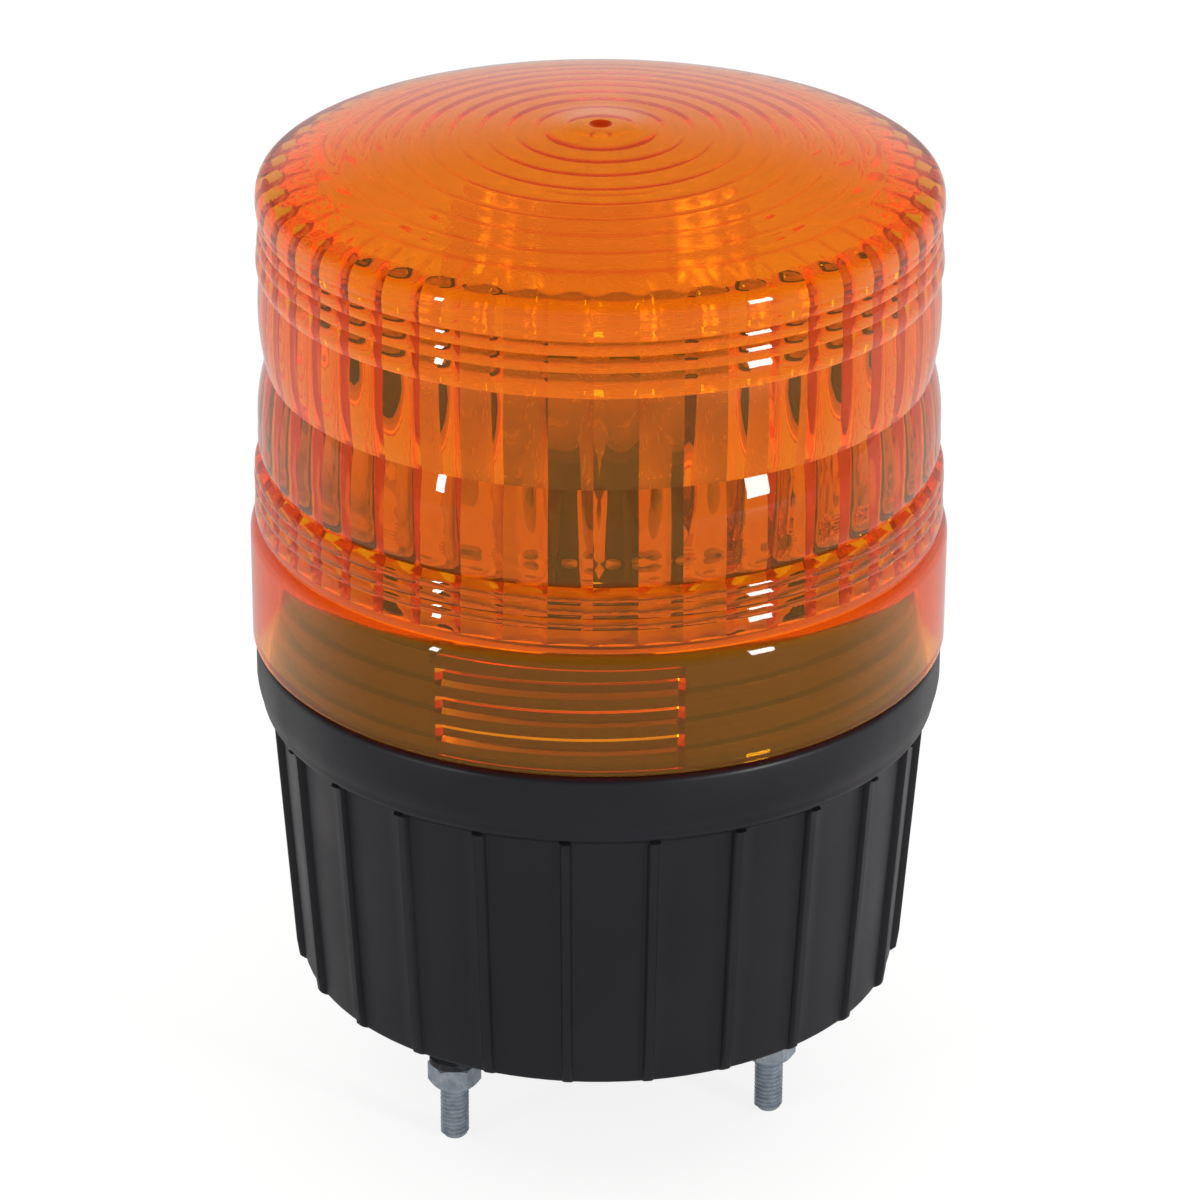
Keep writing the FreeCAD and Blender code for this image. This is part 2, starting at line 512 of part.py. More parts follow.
def wheel():
    """Turntable gear: toothed rim, pierced web, hub, and a pad for the mirror's stand."""
    body = gear(WHEEL_TEETH, ADDENDUM, WHEEL_Z0, WHEEL_Z1)
    body = body.fuse(rod(HUB_R, BUSH_Z0 + 0.2, HUB_TOP))
    body = body.cut(tube(WEB_R, HUB_R, WHEEL_Z0 + WHEEL_T / 2, WHEEL_Z1 + 1))
    pad = box(-STAND_W / 2 - 2, STAND_W / 2 + 2, mirror_back_y() - 9.5, -HUB_R + 0.5, WHEEL_Z0, WHEEL_Z1)
    body = body.fuse(pad.common(rod(WEB_R + WHEEL_RIM - DEDENDUM, WHEEL_Z0, WHEEL_Z1)))
    for angle in (60, 120, 180, 240, 300):
        at = polar((HUB_R + WEB_R) / 2, angle)
        body = body.cut(rod(4.2, WHEEL_Z0 - 1, WHEEL_Z1 + 1, at))
    for at in stand_screw_places():
        body = body.cut(rod(MOTOR_SCREW_R, WHEEL_Z0 - 1, WHEEL_Z1 + 1, at))
    return body.cut(rod(BUSH_R, WHEEL_Z0 - 3, HUB_TOP + 1))


def stand_screw_places():
    return [V(s * 4.0, mirror_back_y() - 6.0, 0) for s in (1, -1)]


def pinion():
    """Motor gear; it is turned half a tooth so that a gap faces the wheel."""
    body = gear(PINION_TEETH, ADDENDUM, WHEEL_Z0 - 0.4, WHEEL_Z1 + 0.6)
    body.rotate(V(), V(0, 0, 1), 180.0 + 180.0 / PINION_TEETH)
    body.translate(V(MOTOR_X, 0, 0))
    at = V(MOTOR_X, 0, 0)
    body = body.fuse(rod(4.0, WHEEL_Z1 + 0.6, WHEEL_Z1 + 2.6, at))
    return body.cut(rod(MOTOR_SHAFT_R, WHEEL_Z0 - 1, WHEEL_Z1 + 3, at))


def bearing_post():
    """Hollow post clamped in the plate: the wheel turns on it and the lamp leads pass up it."""
    low, high = PLATE_Z - POST_TAIL, SOCKET_Z0 + POST_SEAT
    body = rod(POST_R, low, high).fuse(rod(POST_FLANGE_R, PLATE_TOP, POST_FLANGE_TOP))
    body = body.cut(tube(POST_R + 1, POST_R - CLIP_GROOVE, CLIP_Z, CLIP_Z + CLIP_T))
    return body.cut(rod(POST_BORE, low - 1, high + 1))


def retaining_ring():
    ring = tube(CLIP_R, POST_R - CLIP_GROOVE, CLIP_Z, CLIP_Z + CLIP_T)
    return ring.cut(box(-1.6, 1.6, 0, CLIP_R + 1, CLIP_Z - 1, CLIP_Z + 2))


# ---------------------------------------------------------------- lamp and mirror
def socket_insulator():
    body = rod(SOCKET_R, SOCKET_Z0, SHELL_Z0 + 3)
    body = body.cut(rod(POST_R, SOCKET_Z0 - 1, SOCKET_Z0 + POST_SEAT))
    return body.cut(rod(SHELL_R, SHELL_Z0, SHELL_Z0 + 4)).cut(rod(1.2, SOCKET_Z0, SHELL_Z0 + 1))


def socket_shell():
    """Bayonet shell with its two L-shaped slots."""
    body = tube(SHELL_R, SHELL_R - SHELL_T, SHELL_Z0, SHELL_Z1)
    w = PIN_R + 0.2
    for s in (1, -1):
        down = box(-w, w, s * 5 if s > 0 else -12, 12 if s > 0 else -5, PIN_Z - w, SHELL_Z1 + 1)
        down = spin(down, 28)
        seat = box(-w, 5, 5 if s > 0 else -12, 12 if s > 0 else -5, PIN_Z - w, PIN_Z + w)
        if s < 0:
            seat = box(-5, w, -12, -5, PIN_Z - w, PIN_Z + w)
        body = body.cut(down).cut(seat)
    return body


def bulb_cap():
    body = rod(CAP_R, CAP_Z0 + 1.2, CAP_Z1).fuse(
        Part.makeCone(4.0, CAP_R, 1.2, V(0, 0, CAP_Z0)))
    pins = Part.makeCylinder(PIN_R, 2 * SHELL_R, V(0, -SHELL_R, PIN_Z), V(0, 1, 0))
    hollow = rod(CAP_R - 0.5, CAP_Z0 + 6, CAP_Z1 + 1)
    return body.cut(hollow).fuse(pins.cut(rod(CAP_R - 0.4, CAP_Z0, CAP_Z1)))


def bulb_glass():
    """Tubular bulb: a neck cemented in the cap, straight sides and a domed end."""
    neck, z0 = CAP_R - 0.5, CAP_Z1 - 4
    r, t, top = GLASS_R, GLASS_T, GLASS_TOP
    k = math.sqrt(0.5)
    dome_z = top - r
    edges = path((neck - t, z0), (neck, z0), (neck, z0 + 5.0), (r, z0 + 8.0), (r, dome_z))
    for q in (r, r - t):
        edges.append(Part.Arc(V(q, 0, dome_z), V(q * k, 0, dome_z + q * k), V(0, 0, dome_z + q)).toShape())
    edges += [line((0, top), (0, top - t))]
    edges += path((r - t, dome_z), (r - t, z0 + 8.2), (neck - t, z0 + 5.2), (neck - t, z0))
    return turned(edges)


def filament():
    """Coil between two support wires that rise from a glass stem's foot in the cap."""
    z0, z1, zc, reach = CAP_Z0 + 6, CAP_Z1 + 2, CAP_Z0 + LIGHT_H, 3.2
    body = rod(2.2, z0, z1)
    for s in (1, -1):
        body = body.fuse(rod(0.35, z1 - 1, zc, V(s * reach, 0, 0)))
        body = body.fuse(Part.makeCylinder(0.35, reach, V(0, 0, z1 - 0.6), V(s, 0, 0)))
    return body.fuse(Part.makeCylinder(0.8, 2 * reach, V(-reach, 0, zc), V(1, 0, 0)))


def parabola(offset):
    """The mirror's plan curve, with the lamp's axis at its focus, moved back by an offset."""
    pts = []
    for k in range(9):
        x = -MIRROR_W / 2 - 1 + (MIRROR_W + 2) * k / 8
        slope = x / (2 * MIRROR_FOCUS)
        n = math.hypot(1, slope)
        pts.append(V(x + offset * slope / n, -MIRROR_FOCUS + x * x / (4 * MIRROR_FOCUS) - offset / n,
                     (MIRROR_Z0 + MIRROR_Z1) / 2))
    curve = Part.BSplineCurve()
    curve.interpolate(pts)
    return curve.toShape()


def dish_blank(front, back):
    """Parabolic strip between two offsets, swept about a far level axis so it curves upright too."""
    inner, outer = parabola(front), parabola(back)
    ends = [Part.makeLine(inner.Vertexes[k].Point, outer.Vertexes[k].Point) for k in (0, 1)]
    face = Part.Face(Part.Wire(Part.__sortEdges__([inner, outer] + ends)))
    centre = V(0, MIRROR_BACK_R - MIRROR_FOCUS, (MIRROR_Z0 + MIRROR_Z1) / 2)
    face.rotate(centre, V(1, 0, 0), -14)
    return face.revolve(centre, V(1, 0, 0), 28)


def mirror():
    """The reflector: the blank trimmed to an upright rectangle with round corners."""
    w, h, c = MIRROR_W / 2, (MIRROR_Z1 - MIRROR_Z0) / 2, MIRROR_CORNER
    trim = Part.makeBox(2 * w, 60, 2 * h, V(-w, -40, MIRROR_Z0))
    level = [e for e in trim.Edges if abs(e.tangentAt(e.FirstParameter).y) > 0.9]
    return dish_blank(0.0, MIRROR_T).common(trim.makeFillet(c, level))


def mirror_stand():
    """Moulded bracket: foot screwed to the wheel, and a leg whose top is shaped to the mirror's back."""
    back = mirror_back_y()
    w, t = STAND_W / 2, STAND_T
    foot = box(-w, w, back - 9.0, back - 1.0, WHEEL_Z1, WHEEL_Z1 + t)
    leg = box(-w, w, back - 2 * t, back - 0.2, WHEEL_Z1, MIRROR_Z0 + 9.0)
    web = box(-0.8, 0.8, back - 9.0, back - 1.0, WHEEL_Z1, WHEEL_Z1 + 8.0)
    slope = Part.makeCylinder(7.6, 20, V(-10, back - 10.4, WHEEL_Z1 + 9.0), V(1, 0, 0))
    body = foot.fuse(leg).fuse(web.cut(slope)).cut(dish_blank(-6.0, MIRROR_T))
    for at in stand_screw_places():
        body = body.cut(rod(MOTOR_SCREW_R, WHEEL_Z1 - 1, WHEEL_Z1 + STAND_T + 1, at))
    return body


# ---------------------------------------------------------------- terminal block
def terminal_places():
    y = (BLOCK[2] + BLOCK[3]) / 2
    return [("abc"[k], V(BLOCK[0] + 3.6 + 6.4 * k, y, 0)) for k in range(3)]


def terminal_block():
    """Three-way moulded block: wells for the screws from above, wire ways from both sides."""
    x0, x1, y0, y1 = BLOCK
    body = box(x0, x1, y0, y1, FLOOR_T, FLOOR_T + BLOCK_H)
    for _, at in terminal_places():
        body = body.cut(rod(2.2, FLOOR_T + BLOCK_WELL, FLOOR_T + BLOCK_H + 1, at))
        way = V(at.x, y0 - 1, FLOOR_T + BLOCK_WELL - 1.8)
        body = body.cut(Part.makeCylinder(WAY_R, y1 - y0 + 2, way, V(0, 1, 0)))
    for k in (1, 2):
        x = x0 + 0.4 + 6.4 * k
        body = body.cut(box(x - 0.5, x + 0.5, y0 - 1, y1 + 1, FLOOR_T + 7.5, FLOOR_T + BLOCK_H + 1))
    return body


def terminal_screw(at):
    z0 = FLOOR_T + BLOCK_WELL
    slot = box(at.x - 2.5, at.x + 2.5, at.y - 0.35, at.y + 0.35, z0 + 2.6, z0 + 4)
    return rod(2.2, z0, z0 + 3.4, at).cut(slot)


# ---------------------------------------------------------------- build
save("globe", globe())
save("base_housing", base_housing())
save("base_floor", base_floor())
save("cable_grommet", grommet())
for tag, at in stud_places():
    save("stud_" + tag, stud(at))
    save("stud_nut_" + tag, nut(at, NUT_LOW, NUT_T, M5_AF, M5_R))
    save("lock_washer_" + tag, lock_washer(at))
for tag, angle in zip("abc", BOSS_ANGLES):
    at = polar(BOSS_AT, angle)
    save("floor_screw_" + tag, floor_screw(at))
    save("chassis_screw_" + tag, pan_screw(at, PLATE_TOP, 10.0, SCREW_R, SCREW_HEAD_R, SCREW_HEAD_T))
save("collar_gasket", collar_gasket())
save("slip_ring", slip_ring())
save("chassis_plate", chassis_plate())
save("motor_case", motor_case())
save("motor_cap", motor_cap())
for tag, at in zip("ab", motor_screw_places()):
    save("motor_screw_" + tag, pan_screw(at, PLATE_TOP, 5.0, MOTOR_SCREW_R,
                                          SMALL_HEAD_R, SMALL_HEAD_T))
save("motor_shaft", rod(MOTOR_SHAFT_R, PLATE_Z - SHAFT_IN, WHEEL_Z1 + 3.4, V(MOTOR_X, 0, 0)))
save("pinion", pinion())
save("bearing_post", bearing_post())
save("post_nut", nut(V(), PLATE_Z - POST_NUT_T, POST_NUT_T, POST_NUT_AF, POST_R))
save("thrust_washer", tube(THRUST_R, POST_R + RUN, POST_FLANGE_TOP, POST_FLANGE_TOP + THRUST_T))
save("rotor_wheel", wheel())
save("rotor_bush", tube(BUSH_R, POST_R + RUN, BUSH_Z0, BUSH_Z1))
save("retaining_ring", retaining_ring())
save("reflector", mirror())
save("reflector_stand", mirror_stand())
for tag, at in zip("ab", stand_screw_places()):
    save("stand_screw_" + tag, pan_screw(at, WHEEL_Z1 + STAND_T, 4.5, MOTOR_SCREW_R,
                                          SMALL_HEAD_R, SMALL_HEAD_T))
save("socket_insulator", socket_insulator())
save("socket_shell", socket_shell())
save("socket_contact", rod(CONTACT_R, SHELL_Z0, CAP_Z0))
save("bulb_cap", bulb_cap())
save("bulb_glass", bulb_glass())
save("bulb_filament", filament())
save("terminal_block", terminal_block())
for tag, at in terminal_places():
    save("terminal_screw_" + tag, terminal_screw(at))
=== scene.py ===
# %% [markdown]
# # An amber rotating beacon
# A screw-off amber globe stands on a ribbed black base with three mounting studs. Inside, a motor turns a
# mirror round a small lamp. The moving solids come ready-made and fixed in place. This lesson gives them
# their finish, and models again the pieces whose fine shape makes the look: the lens, the ribbed housing,
# the threads and the filament.

# %% Load the model
import bmesh
import bpy
import json
import math
from mathutils import Matrix, Vector

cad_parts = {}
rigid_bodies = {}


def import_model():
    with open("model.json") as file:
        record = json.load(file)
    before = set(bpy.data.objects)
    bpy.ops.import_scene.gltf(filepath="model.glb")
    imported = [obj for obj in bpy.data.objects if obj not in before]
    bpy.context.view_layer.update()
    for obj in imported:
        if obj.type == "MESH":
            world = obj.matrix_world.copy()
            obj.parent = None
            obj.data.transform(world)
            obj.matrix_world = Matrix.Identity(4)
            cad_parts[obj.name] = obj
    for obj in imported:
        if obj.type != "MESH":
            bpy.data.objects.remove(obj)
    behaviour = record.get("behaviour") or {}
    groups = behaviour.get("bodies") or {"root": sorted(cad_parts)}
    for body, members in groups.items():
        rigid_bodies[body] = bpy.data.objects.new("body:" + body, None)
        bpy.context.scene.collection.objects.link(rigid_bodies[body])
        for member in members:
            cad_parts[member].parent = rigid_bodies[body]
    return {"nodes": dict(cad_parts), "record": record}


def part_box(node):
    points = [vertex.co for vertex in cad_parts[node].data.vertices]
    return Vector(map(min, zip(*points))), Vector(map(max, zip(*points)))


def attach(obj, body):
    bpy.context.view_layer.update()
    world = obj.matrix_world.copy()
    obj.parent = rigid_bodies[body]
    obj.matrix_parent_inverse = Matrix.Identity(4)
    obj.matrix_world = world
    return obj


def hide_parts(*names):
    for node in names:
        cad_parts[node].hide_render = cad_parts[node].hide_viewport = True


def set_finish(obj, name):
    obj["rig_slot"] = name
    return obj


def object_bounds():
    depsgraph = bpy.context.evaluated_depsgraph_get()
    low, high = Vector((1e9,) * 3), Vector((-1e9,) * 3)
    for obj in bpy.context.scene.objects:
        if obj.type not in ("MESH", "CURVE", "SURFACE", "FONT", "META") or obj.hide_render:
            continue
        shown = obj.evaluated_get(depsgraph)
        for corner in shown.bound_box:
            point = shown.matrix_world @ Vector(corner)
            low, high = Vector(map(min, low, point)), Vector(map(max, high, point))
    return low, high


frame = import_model()
cad_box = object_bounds()
nodes = frame["nodes"]
MM = 0.001
print(len(nodes), "ready-made pieces, size in mm:", [round((b - a) / MM, 1) for a, b in zip(*cad_box)])

# %% [markdown]
# ## Camera
# A long lens from a little above keeps the round shapes calm, as catalogue views of such lamps do. A Track To
# constraint could aim it, but a plain rotation is easier to read back. The camera looks straight at the axis,
# so a distance, a height and a pitch are all that it needs.

# %% Camera
AIM = Vector((0, 0, 64.81)) * MM
DISTANCE, PITCH, ROLL = 920.6 * MM, math.radians(25.4), math.radians(0.25)
FOCAL, SENSOR, SHIFT = 162.8, 36, 0.0012      # millimetres, millimetres and a share of the frame's width
away = Vector((0, -math.cos(PITCH), math.sin(PITCH)))
camera = bpy.data.objects.new("camera", bpy.data.cameras.new("camera"))
bpy.context.scene.collection.objects.link(camera)
camera.location = AIM + away * DISTANCE
facing = (-away).to_track_quat("-Z", "Y").to_matrix()
camera.rotation_euler = (facing @ Matrix.Rotation(ROLL, 3, "Z")).to_euler()
camera.data.lens, camera.data.sensor_width = FOCAL, SENSOR
camera.data.shift_x = SHIFT
camera.data.clip_start, camera.data.clip_end = 0.05, 20
bpy.context.scene.camera = camera
print("camera stands", round(camera.location.z / MM), "mm above the mounting face")

# %% [markdown]
# ## Light, floor and surroundings
# Clear plastic shows what stands around it, so the surroundings matter as much as the lamps. The room is
# plain white to the camera and through the lens, while a softer level lights the surfaces. Reflections find
# it dim in front and above, as studios are: black plastic then stays black in front and picks up a sheen only
# towards its sides. A panorama of a real studio would do this too; a few levels that follow the direction are
# enough, and stay easy to change. Two upright soft boxes give the narrow white glints on the rings. The floor
# is white card that keeps a faint shadow.

# %% Colours and one helper for nodes
def colour(text):
    """An sRGB hex colour as the linear values that nodes take."""
    parts = [int(text[i:i + 2], 16) / 255 for i in (1, 3, 5)]
    return [c / 12.92 if c <= 0.04045 else ((c + 0.055) / 1.055) ** 2.4 for c in parts] + [1.0]


def add(tree, kind, sockets=None, **settings):
    """A node with its settings; each socket takes a value, or the output of another node."""
    made = tree.nodes.new("ShaderNode" + kind)
    for name, value in settings.items():
        setattr(made, name, value)
    for name, value in (sockets or {}).items():
        if isinstance(value, bpy.types.NodeSocket):
            tree.links.new(value, made.inputs[name])
        else:
            made.inputs[name].default_value = value
    return made


# %% Surroundings
ROOM = "#FFFFFF"
SURFACE_LIGHT = 0.62      # what the room gives to matt surfaces
DIM_SIDE, FAR_SIDE = 0.2, 0.65      # what reflections find in front and behind
CEILING = 0.18            # how much of that is left above
THROUGH = 1.0             # what clear plastic shows
world = bpy.data.worlds.new("white room")
bpy.context.scene.world = world
world.use_nodes = True
tree = world.node_tree
tree.nodes.clear()
rays = add(tree, "LightPath")
towards = add(tree, "SeparateXYZ", {0: add(tree, "TexCoord").outputs["Generated"]})
walls = add(tree, "MapRange", {"Value": towards.outputs["Y"], "From Min": -0.35, "From Max": 0.95,
                               "To Min": DIM_SIDE, "To Max": FAR_SIDE}, interpolation_type="SMOOTHSTEP")
above = add(tree, "MapRange", {"Value": towards.outputs["Z"], "From Min": 0.12, "From Max": 0.5,
                               "To Min": 1.0, "To Max": CEILING}, interpolation_type="SMOOTHSTEP")
room = add(tree, "Math", {0: walls.outputs[0], 1: above.outputs[0]}, operation="MULTIPLY")
level = add(tree, "Mix", {0: rays.outputs["Is Glossy Ray"], 2: SURFACE_LIGHT, 3: room.outputs[0]})
level = add(tree, "Mix", {0: rays.outputs["Is Transmission Ray"], 2: level.outputs[0], 3: THROUGH})
level = add(tree, "Math", {0: level.outputs[0], 1: rays.outputs["Is Camera Ray"]}, operation="MAXIMUM")
back = add(tree, "Background", {"Color": colour(ROOM), "Strength": level.outputs[0]})
add(tree, "OutputWorld", {"Surface": back.outputs[0]})
bpy.context.scene.view_settings.view_transform = "Standard"
print("room level", SURFACE_LIGHT, "dim side", DIM_SIDE)


# %% Soft boxes
LENS_MIDDLE = Vector((0, 0, 0.11))


def soft_box(name, turn, high, distance, wide, tall, watts):
    """An upright lamp at an angle from the front, aimed at the middle of the lens."""
    lamp = bpy.data.objects.new(name, bpy.data.lights.new(name, "AREA"))
    bpy.context.scene.collection.objects.link(lamp)
    lamp.data.shape, lamp.data.size, lamp.data.size_y, lamp.data.energy = "RECTANGLE", wide, tall, watts
    a = math.radians(turn)
    lamp.location = (distance * math.sin(a), -distance * math.cos(a), high)
    lamp.rotation_euler = (LENS_MIDDLE - lamp.location).to_track_quat("-Z", "Y").to_euler()


soft_box("soft box right", 51, 0.23, 1.0, 0.14, 0.30, 2.3)
soft_box("soft box left", -51, 0.23, 1.0, 0.05, 0.24, 0.85)
print("two soft boxes")

# %% Floor
bm = bmesh.new()
bmesh.ops.create_grid(bm, x_segments=1, y_segments=1, size=3.0)
bmesh.ops.translate(bm, verts=bm.verts, vec=(0, 0, cad_box[0][2] - 0.0002))
floor = bpy.data.objects.new("floor", bpy.data.meshes.new("floor"))
bm.to_mesh(floor.data)
bm.free()
bpy.context.scene.collection.objects.link(floor)

paper = bpy.data.materials.new("white card")
paper.use_nodes = True
tree = paper.node_tree
tree.nodes.clear()
rays = add(tree, "LightPath")
seen = add(tree, "Math", {0: rays.outputs["Is Camera Ray"], 1: rays.outputs["Is Transmission Ray"]},
           operation="MAXIMUM")
matt = add(tree, "BsdfDiffuse", {"Color": colour("#F4F4F2")})
shade = add(tree, "BsdfDiffuse", {"Color": colour("#A6A6A4")})       # keeps a faint shadow under the white
glow = add(tree, "Emission", {"Color": colour("#FFFFFF"), "Strength": 0.8})
both = add(tree, "AddShader", {0: shade.outputs[0], 1: glow.outputs[0]})
depth = add(tree, "SeparateXYZ", {0: add(tree, "TexCoord").outputs["Object"]}).outputs["Y"]
# Reflections find the floor darker in front.
greys = add(tree, "MapRange", {"Value": depth, "From Min": -0.12, "From Max": 0.1,
                               "To Min": 0.34, "To Max": 1.0}, interpolation_type="SMOOTHSTEP")
grey = add(tree, "BsdfDiffuse", {"Color": greys.outputs[0]})
lit = add(tree, "MixShader", {0: rays.outputs["Is Glossy Ray"], 1: matt.outputs[0], 2: grey.outputs[0]})
lit = add(tree, "MixShader", {0: seen.outputs[0], 1: lit.outputs[0], 2: both.outputs[0]})
add(tree, "OutputMaterial", {"Surface": lit.outputs[0]})
floor.data.materials.append(paper)
print("floor at", round(cad_box[0][2] / MM, 1), "mm")

# %% [markdown]
# ## Drawing a turned shape
# Nearly everything here was turned or moulded round one axis, so one outline and one spin make it. An outline
# is a few points, radius and height, and a third number bows the stretch that arrives there. A Screw modifier
# would turn it too, but the spin operator leaves columns of points at known angles. Ribs and flutes come
# afterwards, by moving those columns in or out.

# %% Outlines and turning
def outline(bm, steps, bow_parts=6):
    """A chain of edges through (radius, height[, bow]) in mm, on the +X side. Returns its geometry."""
    verts = [bm.verts.new((steps[0][0] * MM, 0, steps[0][1] * MM))]
    for (r0, z0), step in zip([s[:2] for s in steps], steps[1:]):
        r1, z1 = step[:2]
        bow = step[2] if len(step) > 2 else 0.0
        length = math.hypot(r1 - r0, z1 - z0)
        for k in range(1, bow_parts + 1) if bow else (bow_parts,):
            t = k / bow_parts
            out = 4 * bow * t * (1 - t) / length
            r, z = r0 + (r1 - r0) * t + out * (z1 - z0), z0 + (z1 - z0) * t - out * (r1 - r0)
            verts.append(bm.verts.new((r * MM, 0, z * MM)))
    return verts + [bm.edges.new(pair) for pair in zip(verts, verts[1:])]


def turn(bm, geometry, steps, dvec=(0, 0, 0), angle=2 * math.pi, centre=(0, 0, 0)):
    """Spins an outline about an upright axis, closed into a full ring unless it climbs."""
    bmesh.ops.spin(bm, geom=geometry, cent=centre, axis=(0, 0, 1), dvec=dvec, angle=angle, steps=steps,
                   use_merge=not any(dvec) and angle == 2 * math.pi)


def front_angle(co):
    """Degrees round the axis from the front, counted towards +X."""
    return math.degrees(math.atan2(co.x, -co.y))


def near(angle, pitch, phase=0.0):
    """Degrees from the nearest line of a pattern that repeats every pitch."""
    return (angle - phase + pitch / 2) % pitch - pitch / 2


def push(vert, depth):
    """Moves a point towards the axis by a depth in mm."""
    r = math.hypot(vert.co.x, vert.co.y)
    if r > MM:
        vert.co.x, vert.co.y = (c * (1 - depth * MM / r) for c in (vert.co.x, vert.co.y))


def piece(name, bm, body, slot, replaces=(), sharp=35):
    """Closes a mesh, smooths it up to an angle and hands it to the body that carries it."""
    bmesh.ops.remove_doubles(bm, verts=bm.verts, dist=0.002 * MM)
    bmesh.ops.recalc_face_normals(bm, faces=bm.faces)
    mesh = bpy.data.meshes.new(name)
    bm.to_mesh(mesh)
    open_edges = sum(e.is_boundary for e in bm.edges)
    bm.free()
    mesh.shade_smooth()
    mesh.set_sharp_from_angle(angle=math.radians(sharp))
    made = bpy.data.objects.new(name, mesh)
    bpy.context.scene.collection.objects.link(made)
    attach(made, body)
    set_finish(made, slot)
    if replaces:
        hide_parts(*replaces)
    print(name, len(mesh.polygons), "faces,", open_edges, "open edges")


# %% [markdown]
# ## The globe
# One injection-moulded shell of amber polycarbonate. Outside are two big bulges with a waist, small rings
# above and below them, and a flat dome. Inside, 48 upright half-round flutes spread the beam and rings under
# the dome do the same upwards. Three groups of thread ridges sit in the skirt. All of it bends light, so both
# walls are modelled, as one outline that runs down the inside and back up the outside. The flutes could be
# cut with Booleans, but so many thin cuts in a curved wall leave ragged faces, and pushed columns stay clean.

# %% Globe sizes
low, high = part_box("globe")
SKIRT_R, SKIRT_Z0, CROWN = high.x / MM, low.z / MM, high.z / MM
SKIRT_WALL = 2.25
SKIRT_IN, SKIRT_ROOF = SKIRT_R - SKIRT_WALL, SKIRT_Z0 + 21.0
SKIRT_Z1 = SKIRT_ROOF + 0.2
LENS_IN = SKIRT_R - 4.7
FLUTES, FLUTE_DEEP, FLUTE_PHASE = 48, 0.8, -0.8
FLUTE_PITCH = 360 / FLUTES
FILLET, FILLET_Z = 4.3, CROWN - 14.0      # the wall curves into the dome, and the flutes run over that curve
FLUTE_END = math.radians(78)              # how far round the curve they run
FLUTE_LOW = SKIRT_Z1 + 0.9
HALF = math.pi * LENS_IN / FLUTES         # half of a flute's width
ROUND = (HALF ** 2 + FLUTE_DEEP ** 2) / 2 / FLUTE_DEEP
DISC_R, DISC_Z, TOP_T = SKIRT_R - 12.1, CROWN - 5.9, 3.0
RING_FIRST, RING_PITCH, RING_DEEP = 7.3, 4.65, 0.17
LEAD, PAD_PHASE, PAD_HALF, PAD_T, RIDGE_DEEP = 5.0, -6.9, 20.25, 0.4, 1.1
PAD_FIRST = SKIRT_Z0 + 4.6                # middle of the lowest ridge of the front pad
print("skirt", SKIRT_R, "crown", CROWN, "flute radius", round(ROUND, 2))


# %% Globe outline
def ring_lens():
    """Under the dome, from the middle out: convex rings with sharp valleys between them."""
    steps = [(0, CROWN - TOP_T), (RING_FIRST - RING_PITCH / 2, CROWN - TOP_T)]
    r = RING_FIRST + RING_PITCH / 2
    while r < DISC_R + 1:
        steps.append((r, CROWN - TOP_T - (CROWN - DISC_Z) * (r / DISC_R) ** 2, RING_DEEP))
        r += RING_PITCH
    return steps


def thread_rows():
    """Heights and depths down the skirt's inside, before they follow the helix."""
    rows = [(SKIRT_ROOF - 2.8, 0), (SKIRT_ROOF - 2.9, PAD_T)]
    for k in (2, 1, 0):
        middle = PAD_FIRST + k * LEAD
        rows += [(middle + 1.5, PAD_T), (middle + 0.7, PAD_T + RIDGE_DEEP),
                 (middle - 0.7, PAD_T + RIDGE_DEEP), (middle - 1.5, PAD_T)]
    return rows + [(SKIRT_Z0 + 0.5, PAD_T), (SKIRT_Z0 + 0.4, 0)]


FILLET_R = LENS_IN - FILLET
inside = ring_lens()
inside += [(FILLET_R + FILLET * math.cos(math.radians(b)), FILLET_Z + FILLET * math.sin(math.radians(b)))
           for b in (72, 66, 60, 53, 46, 39, 32, 24, 16, 8)]
inside += [(LENS_IN, z) for z in (FILLET_Z, 130, 122, 114, 106, 98, FLUTE_LOW, FLUTE_LOW - 0.05)]
inside += [(LENS_IN, SKIRT_ROOF), (SKIRT_IN, SKIRT_ROOF)] + [(SKIRT_IN, z) for z, _ in thread_rows()]
outside = [(SKIRT_IN, SKIRT_Z0), (SKIRT_R - 0.5, SKIRT_Z0), (SKIRT_R, SKIRT_Z0 + 0.5),
           (SKIRT_R, SKIRT_Z1 - 2.4), (SKIRT_R - 0.4, SKIRT_Z1 - 1.0, 0.05), (SKIRT_R - 1.25, SKIRT_Z1, 0.05)]
LOW_RINGS = [(4.4, 1.25, 0.42), (6.4, 1.2, 0.32), (8.8, 1.15, 0.32), (10.7, 1.4, 0.3), (11.4, 2.3, 0)]
BULGES = [(16.8, 1.7, 0.35), (27.9, 3.25, 0.55), (43.8, 2.5, 0.75)]
HIGH_RINGS = [(48.2, 2.3, 0.5), (50.9, 2.6, 0.28), (53.2, 2.7, 0.25), (55.2, 2.2, 0.2), (57.1, 2.1, 0.14)]
SHOULDER = [(58.7, 2.4, 0.1), (60.1, 4.0, 0.25), (62.6, 12.1, 0.1)]
for up, step_in, bow in LOW_RINGS + BULGES + HIGH_RINGS + SHOULDER:
    outside.append((SKIRT_R - step_in, SKIRT_Z1 + up, bow))
outside += [(5.8, CROWN - 0.15, 1.1), (5.2, CROWN), (1.9, CROWN), (1.2, CROWN - 0.9), (0, CROWN - 1.2, -0.15)]
bm = bmesh.new()
turn(bm, outline(bm, inside + outside, 7), FLUTES * 8)      # eight columns of points to a flute
bmesh.ops.remove_doubles(bm, verts=bm.verts, dist=0.002 * MM)
print(len(inside + outside), "points in the globe's outline")


